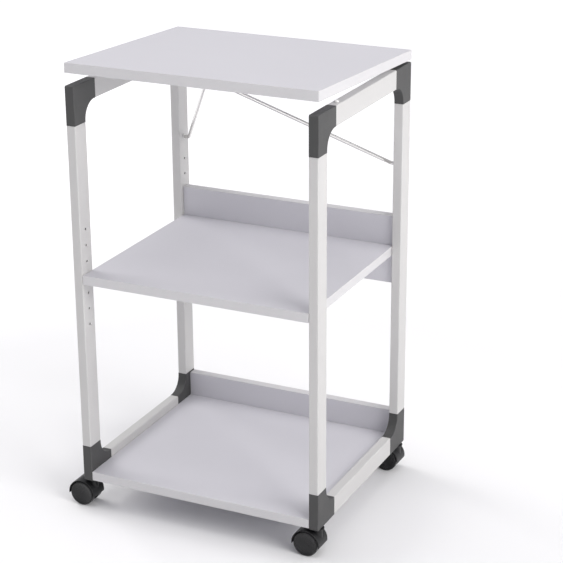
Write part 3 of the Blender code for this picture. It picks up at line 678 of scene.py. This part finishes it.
def wheel_shape(radius, width):
    """Wheel about Z: a dished cover above, a rounded tread, and a hollow back with a hub.

    The dish's height at radius r is width - dish_step - dish_depth (1 - (r / dish_radius)^2).
    """
    arc = np.linspace(0, np.pi / 2, 6)
    dish = [(r, width - dish_step - dish_depth * (1 - (r / dish_radius) ** 2))
            for r in np.linspace(0, dish_radius, 15)]
    rim = [(dish_radius + dish_step, width), (radius - shoulder, width)]
    top_shoulder = [(radius - shoulder * (1 - math.sin(a)), width - shoulder * (1 - math.cos(a)))
                    for a in arc[1:]]
    low_shoulder = [(radius - inner_shoulder * (1 - math.cos(a)),
                     inner_shoulder * (1 - math.sin(a))) for a in arc]
    hollow = width - cover_thickness
    corner_height = hollow - inner_corner
    back = [(0.0212, 0), (0.0205, 0.0008), (0.0200, corner_height), (0.0190, hollow),
            (0.0085, hollow), (0.0075, corner_height), (0.0070, 0.0003), (0.0067, 0),
            (wheel_bore, 0), (wheel_bore, corner_height), (0, corner_height)]
    profile = np.array(dish + rim + top_shoulder + low_shoulder + back)
    tread = (profile[:, 0] > radius - 0.0010) & (profile[:, 1] < width - 0.0040)
    return turned_shape(profile, 96, tread)


hood_plastic = surface_material("black_hood_nylon", hood_colour, hood_edge_wear_and_sheen, 0.4, 0.3,
                                (30, 2200), (0.34, 0.46), (0.16, 0.0001), specular=0.3)
wheel_plastic = surface_material("black_wheel_nylon", wheel_colour, tread_colour, 0.9, 0.3,
                                 (45, 1500), (0.22, 0.30), (0.05, 0.0001), specular=0.4)
for end in ends:
    for side in sides:
        label = f"{end}_{side}"
        hood_node = f"caster_hood_{label}"
        swivel = np.array(joints[f"caster_swivel_{label}"]["pos_m"])
        axle = np.array(joints[f"wheel_spin_{label}_a"]["pos_m"])
        low, high = (np.array(corner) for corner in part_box(hood_node))
        hood_radius = axle[0] - low[0]
        hood = make_piece(f"hood_{label}", hood_shell_shape(hood_radius, (high - low)[1]), axle)
        hub = turned_shape([(0, web_half), (hub_radius - hub_edge, web_half),
                            (hub_radius, web_half - hub_edge), (hub_radius, hub_edge - web_half),
                            (hub_radius - hub_edge, -web_half), (0, -web_half)], 48)
        along_y = np.array([(1, 0, 0), (0, 0, 1), (0, 1, 0)])
        hub_piece = make_piece(f"hub_tool_{label}", hub, axle, along_y)
        boss = make_piece(f"boss_tool_{label}", stem_boss(axle[2] + boss_foot, high[2]),
                          (swivel[0], swivel[1], 0))
        cut_or_join(hood, [hub_piece, boss], "UNION", hood_sharp)
        finish_piece(hood, hood_plastic, f"caster_{label}", "caster_plastic", hood_node)
        for letter, direction in (("a", -1), ("b", 1)):
            node = f"caster_wheel_{label}_{letter}"
            low, high = (np.array(corner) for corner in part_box(node))
            width = (high - low)[1]
            inner_face = low[1] if direction > 0 else high[1]
            outward_axes = np.array([(1, 0, 0), (0, 0, -direction), (0, direction, 0)])
            wheel = make_piece(f"wheel_{label}_{letter}",
                               wheel_shape((high - low)[0] / 2, width),
                               (axle[0], inner_face, axle[2]), outward_axes)
            finish_piece(wheel, wheel_plastic, f"wheel_{label}_{letter}", "wheel_plastic", node)
        for name in ("caster_axle", "caster_stem"):
            repaint(f"{name}_{label}", zinc)


# ---------------------------------------------------------------------------
# Wire prop: one 7 mm steel wire, bent cold and bright nickel plated.  Its two
# ends turn in nylon bushes in the rear legs, and its crossbar holds up the top.

wire_radius = 0.0035
wire_bend = 0.008
wire_bend_x = 0.223
wire_apex_x = 0.012
wire_end = 0.4              # length of the rounded end, as a share of the radius
bush_clearance = 0.0002
bush_flange = 0.0055
bush_shank = 0.0045
bush_length = 0.0055
flange_thickness = 0.0014
nickel_colour = (0.74, 0.73, 0.72)
nylon_colour = (0.80, 0.80, 0.78)
nylon_worn = (0.85, 0.85, 0.84)


def rounded_path(corners, radius, steps=10):
    """Open path in space whose inner corners are arcs of one radius.

    Between its two tangent directions an arc's point is centre + first cos a +
    across sin a, where across is the unit tangent at its start times the radius.
    """
    corners = np.asarray(corners, float)
    points = [corners[:1]]
    for before, corner, after in zip(corners, corners[1:], corners[2:]):
        back = (before - corner) / np.linalg.norm(before - corner)
        ahead = (after - corner) / np.linalg.norm(after - corner)
        half = math.acos(np.clip(back @ ahead, -1, 1)) / 2
        centre = corner + (back + ahead) / np.linalg.norm(back + ahead) * radius / math.sin(half)
        first = corner + back * radius / math.tan(half) - centre
        angle = np.linspace(0, math.pi - 2 * half, steps + 1)[:, None]
        points.append(centre + first * np.cos(angle) - back * radius * np.sin(angle))
    points.append(corners[-1:])
    return np.concatenate(points)


def wire_shape(path, radius, sides_round=24):
    """Circle carried along a path, its frame turned as little as possible from point to point."""
    tangent = np.gradient(path, axis=0)
    tangent /= np.linalg.norm(tangent, axis=1, keepdims=True)
    across = np.cross(tangent[0], (0, 0, 1.0))
    frames = []
    for direction in tangent:
        across = across - (across @ direction) * direction
        across = across / np.linalg.norm(across)
        frames.append((across, np.cross(direction, across)))
    angle = np.linspace(0, 2 * np.pi, sides_round, endpoint=False)[:, None]
    rings = [np.cos(angle) * a + np.sin(angle) * b for a, b in frames]
    grid = np.stack([point + radius * ring for point, ring in zip(path, rings)])
    cap = np.linspace(0.15, 1, 5) * np.pi / 2
    bulge = radius * wire_end
    start = [path[0] - tangent[0] * bulge * math.cos(c) + radius * math.sin(c) * rings[0]
             for c in cap]
    finish = [path[-1] + tangent[-1] * bulge * math.cos(c) + radius * math.sin(c) * rings[-1]
              for c in cap[::-1]]
    grid = np.concatenate([np.stack(start), grid[1:-1], np.stack(finish)])
    faces = grid_faces(len(grid), sides_round)
    last = (len(grid) - 1) * sides_round
    faces += [list(range(sides_round)), list(range(last, last + sides_round))]
    return grid.reshape(-1, 3), faces, np.zeros(len(grid) * sides_round)


nickel_plate = surface_material("bright_nickel_plate", nickel_colour, nickel_colour, 0.0, 0.06,
                                (40, 1200), (0.14, 0.24), (0.05, 0.0001), metallic=1.0)
nylon = surface_material("white_nylon", nylon_colour, nylon_worn, 0.2, 0.05,
                         (60, 2000), (0.38, 0.5), (0.12, 0.0001))
pivot = np.array(joints["prop_swing"]["pos_m"])
low, high = (np.array(corner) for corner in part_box("prop_wire"))
half_wire = (high - low)[0] / 2
apex_y = low[1] + wire_radius
apex_z = high[2] - wire_radius
half_path = [(half_wire, pivot[1], pivot[2]), (wire_bend_x, pivot[1], pivot[2]),
             (wire_apex_x, apex_y, apex_z)]
wire_corners = [(pivot[0] - x, y, z) for x, y, z in half_path]
wire_corners += [(pivot[0] + x, y, z) for x, y, z in reversed(half_path)]
wire = make_piece("prop_wire_bent", wire_shape(rounded_path(wire_corners, wire_bend), wire_radius))
finish_piece(wire, nickel_plate, "prop", "wire_steel", "prop_wire")
for side, outward in sides.items():
    node = f"prop_bush_{side}"
    low, high = (np.array(corner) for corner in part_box(node))
    inner = low[0] if outward > 0 else high[0]
    bore = wire_radius + bush_clearance
    profile = [(bore, 0.0003), (bore + 0.0003, 0), (0.0050, 0), (0.0054, 0.0002),
               (bush_flange, 0.0006), (bush_flange, flange_thickness),
               (bush_shank, flange_thickness), (bush_shank, bush_length), (bore, bush_length)]
    bush = make_piece(f"nylon_bush_{side}", turned_shape(profile, 40), (inner, pivot[1], pivot[2]),
                      np.array([(0, 1, 0), (0, 0, outward), (outward, 0, 0)]))
    finish_piece(bush, nylon, "frame", "white_nylon", node)


# ---------------------------------------------------------------------------
# Tilting top: the same faced board, screwed to two pressed steel brackets that
# turn on shoulder screws in the rear corners.  A moulded guide under it carries
# the prop's crossbar.

hinge = np.array(joints["top_tilt"]["pos_m"])
normal = np.array(mounts["top_board_face"]["axis"])
normal = normal / np.linalg.norm(normal)
top_axes = np.array([(1, 0, 0), np.cross(normal, (1.0, 0, 0)), normal])
low, high = box_in_axes("top_board", hinge, top_axes)
build_board("tilting_top", "top_board", "top", low, high, hinge, top_axes)


def soften(node, material, width):
    """Bevel a CAD piece's edges after its loose triangles are welded, and give it its finish."""
    piece = repaint(node, material)
    weld = piece.modifiers.new("weld", "WELD")
    weld.merge_threshold = 0.00002
    flat = piece.modifiers.new("flat", "DECIMATE")
    flat.decimate_type = "DISSOLVE"
    flat.angle_limit = math.radians(1)
    bevel = piece.modifiers.new("edges", "BEVEL")
    bevel.width = width
    bevel.segments = 2
    bevel.limit_method = "ANGLE"
    bevel.angle_limit = math.radians(50)


soften("prop_guide", grey_plastic, 0.0004)
for side in sides:
    soften(f"hinge_bracket_{side}", zinc, 0.0003)


# ---------------------------------------------------------------------------
# Screws and pins: pan-head screws with a cross recess hold the brackets and the
# guide to the top, and a shoulder screw is the pin of each hinge.

screw_radius = 0.0038
screw_height = 0.0022
screw_dome = 0.0007
screw_recess = (0.0022, 0.0008, 0.0012)         # arm, width and depth
bracket_screws = [(0.0150, -0.012), (0.0150, -0.038)]
bracket_thickness = 0.002
guide_screws = [(-0.013, 0.008), (0.013, 0.008), (-0.013, -0.008), (0.013, -0.008)]
guide_flange = 0.0025
pin_head_radius = 0.005
pin_head_height = 0.0028
pin_dome = 0.0006
pin_recess = (0.0028, 0.0010, 0.0014)           # arm, width and depth
pin_radius = 0.0025
pin_chamfer = 0.0004


def screw(name, place, axes, body):
    """Pan-head screw with its head's top along the last axis."""
    shape = recessed_disc(screw_radius, screw_height, screw_dome, *screw_recess, 48)
    piece = make_piece(name, shape, place, axes, 40)
    finish_piece(piece, zinc, body, "zinc_steel")


down_axes = np.array([top_axes[0], -top_axes[1], -top_axes[2]])
for side, outward in sides.items():
    low, high = box_in_axes(f"hinge_bracket_{side}", hinge, top_axes)
    outer = high[0] if outward > 0 else low[0]
    flange = high[2] - bracket_thickness
    for i, (inward, along) in enumerate(bracket_screws):
        spot = hinge + np.array([outer - outward * inward, along, flange]) @ top_axes
        screw(f"bracket_screw_{side}_{i}", spot, down_axes, "top")
    low, high = (np.array(corner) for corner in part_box(f"hinge_pin_{side}"))
    head = low[0] if outward > 0 else high[0]
    reach = high[0] - low[0]
    inward_axes = np.array([(0, -outward, 0), (0, 0, 1), (-outward, 0, 0)])
    under_head = (head + outward * pin_head_height, hinge[1], hinge[2])
    shape = recessed_disc(pin_head_radius, pin_head_height, pin_dome, *pin_recess, 48)
    pin = make_piece(f"shoulder_screw_{side}", shape, under_head, inward_axes, 40)
    tip = pin_head_height - reach
    shape = turned_shape([(0, pin_chamfer), (pin_radius, pin_chamfer),
                          (pin_radius, tip + pin_chamfer), (pin_radius - pin_chamfer, tip),
                          (0, tip)], 48)
    shank = make_piece(f"shank_{side}", shape, under_head, inward_axes, 40)
    cut_or_join(pin, [shank], "UNION")
    finish_piece(pin, zinc, "frame", "zinc_steel", f"hinge_pin_{side}")

low, high = box_in_axes("prop_guide", hinge, top_axes)
for i, (across, along) in enumerate(guide_screws):
    edge = high[1] if along < 0 else low[1]
    spot = hinge + np.array([across, edge + along, high[2] - guide_flange]) @ top_axes
    screw(f"guide_screw_{i}", spot, down_axes, "top")


# ---------------------------------------------------------------------------
# Rest pads: two domed white nylon buttons pushed into the top rails, which the
# lowered top rests on.

pad_dome = 0.0018

for side in sides:
    node = f"rest_pad_{side}"
    low, high = (np.array(corner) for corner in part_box(node))
    radius = (high - low)[0] / 2
    height = (high - low)[2]
    angle = np.linspace(0, np.pi / 2, 7)
    dome = np.column_stack([radius * np.sin(angle), height - pad_dome * (1 - np.cos(angle))])
    profile = np.concatenate([dome, [(radius, 0.0002), (radius - 0.0002, 0), (0, 0)]])
    pad = make_piece(f"pad_{side}", turned_shape(profile, 40),
                     ((low + high)[0] / 2, (low + high)[1] / 2, low[2]))
    finish_piece(pad, nylon, "frame", "white_nylon", node)


# ---------------------------------------------------------------------------
# Studio: a pale floor that is lit evenly out to its far end, two broad soft
# lights on the left and the right, weaker ones behind and above, and a camera
# to the right of the front.

floor_reach = 14.0
floor_height = -0.0002
floor_colour = (0.90, 0.90, 0.91)
glow_start, glow_end, glow_strength = 0.9, 4.5, 0.5
sky_colour = (0.955, 0.955, 1.0, 1.0)
sky_strength = 0.47
lamp_colour = (1.0, 0.985, 0.968)
stand_middle = 0.45

floor_mesh = bpy.data.meshes.new("studio_floor")
floor_mesh.from_pydata([(x * floor_reach, y * floor_reach, floor_height)
                        for x, y in ((-1, -1), (1, -1), (1, 1), (-1, 1))], [], [(0, 1, 2, 3)])
floor = bpy.data.objects.new("studio_floor", floor_mesh)
bpy.context.scene.collection.objects.link(floor)
floor_paint = surface_material("pale_studio_floor", floor_colour, floor_colour, 0.0, 0.01,
                               (1.5, 60), (0.5, 0.6), (0.0, 0.001))
floor_nodes, floor_links = floor_paint.node_tree.nodes, floor_paint.node_tree.links
spot = floor_nodes.new("ShaderNodeTexCoord")
away = floor_nodes.new("ShaderNodeVectorMath")
away.operation = "LENGTH"
floor_links.new(spot.outputs["Object"], away.inputs[0])
glow = floor_nodes.new("ShaderNodeMapRange")
glow.inputs["From Min"].default_value = glow_start
glow.inputs["From Max"].default_value = glow_end
glow.inputs["To Min"].default_value = 0.0
glow.inputs["To Max"].default_value = glow_strength
floor_links.new(away.outputs["Value"], glow.inputs["Value"])
floor_shader = floor_nodes["Principled BSDF"]
floor_shader.inputs["Emission Color"].default_value = (1.0, 1.0, 1.0, 1.0)
floor_links.new(glow.outputs["Result"], floor_shader.inputs["Emission Strength"])
floor_mesh.materials.append(floor_paint)

world = bpy.data.worlds.new("studio")
world.use_nodes = True
world.node_tree.nodes["Background"].inputs["Color"].default_value = sky_colour
world.node_tree.nodes["Background"].inputs["Strength"].default_value = sky_strength
bpy.context.scene.world = world


def soft_light(name, azimuth, elevation, distance, size, power):
    """Square soft light aimed at the stand's middle; azimuth 0 is the front and 90 the right."""
    data = bpy.data.lights.new(name, "AREA")
    data.shape = "SQUARE"
    data.size = size
    data.energy = power
    data.color = lamp_colour
    turn, rise = math.radians(azimuth), math.radians(elevation)
    toward = np.array([math.sin(turn) * math.cos(rise), -math.cos(turn) * math.cos(rise),
                       math.sin(rise)])
    lamp = bpy.data.objects.new(name, data)
    bpy.context.scene.collection.objects.link(lamp)
    lamp.location = np.array([0, 0, stand_middle]) + distance * toward
    lamp.rotation_euler = (math.pi / 2 - rise, 0, turn)


soft_light("left_light", -100, 30, 4.2, 2.4, 98)
soft_light("right_light", 70, 30, 4.2, 2.4, 98)
soft_light("rear_light", 120, 35, 4.2, 2.4, 24)
soft_light("top_light", 0, 89, 4.0, 3.0, 38)

bpy.context.scene.view_settings.view_transform = "Standard"

camera_data = bpy.data.cameras.new("stand_view")
camera_data.sensor_width = 36.0
camera_data.lens = 112.69
camera = bpy.data.objects.new("stand_view", camera_data)
bpy.context.scene.collection.objects.link(camera)
camera.location = (1.4691, -2.8649, 1.6523)
camera.rotation_euler = (math.radians(69.3475), math.radians(0.3554), math.radians(25.4877))
bpy.context.scene.camera = camera
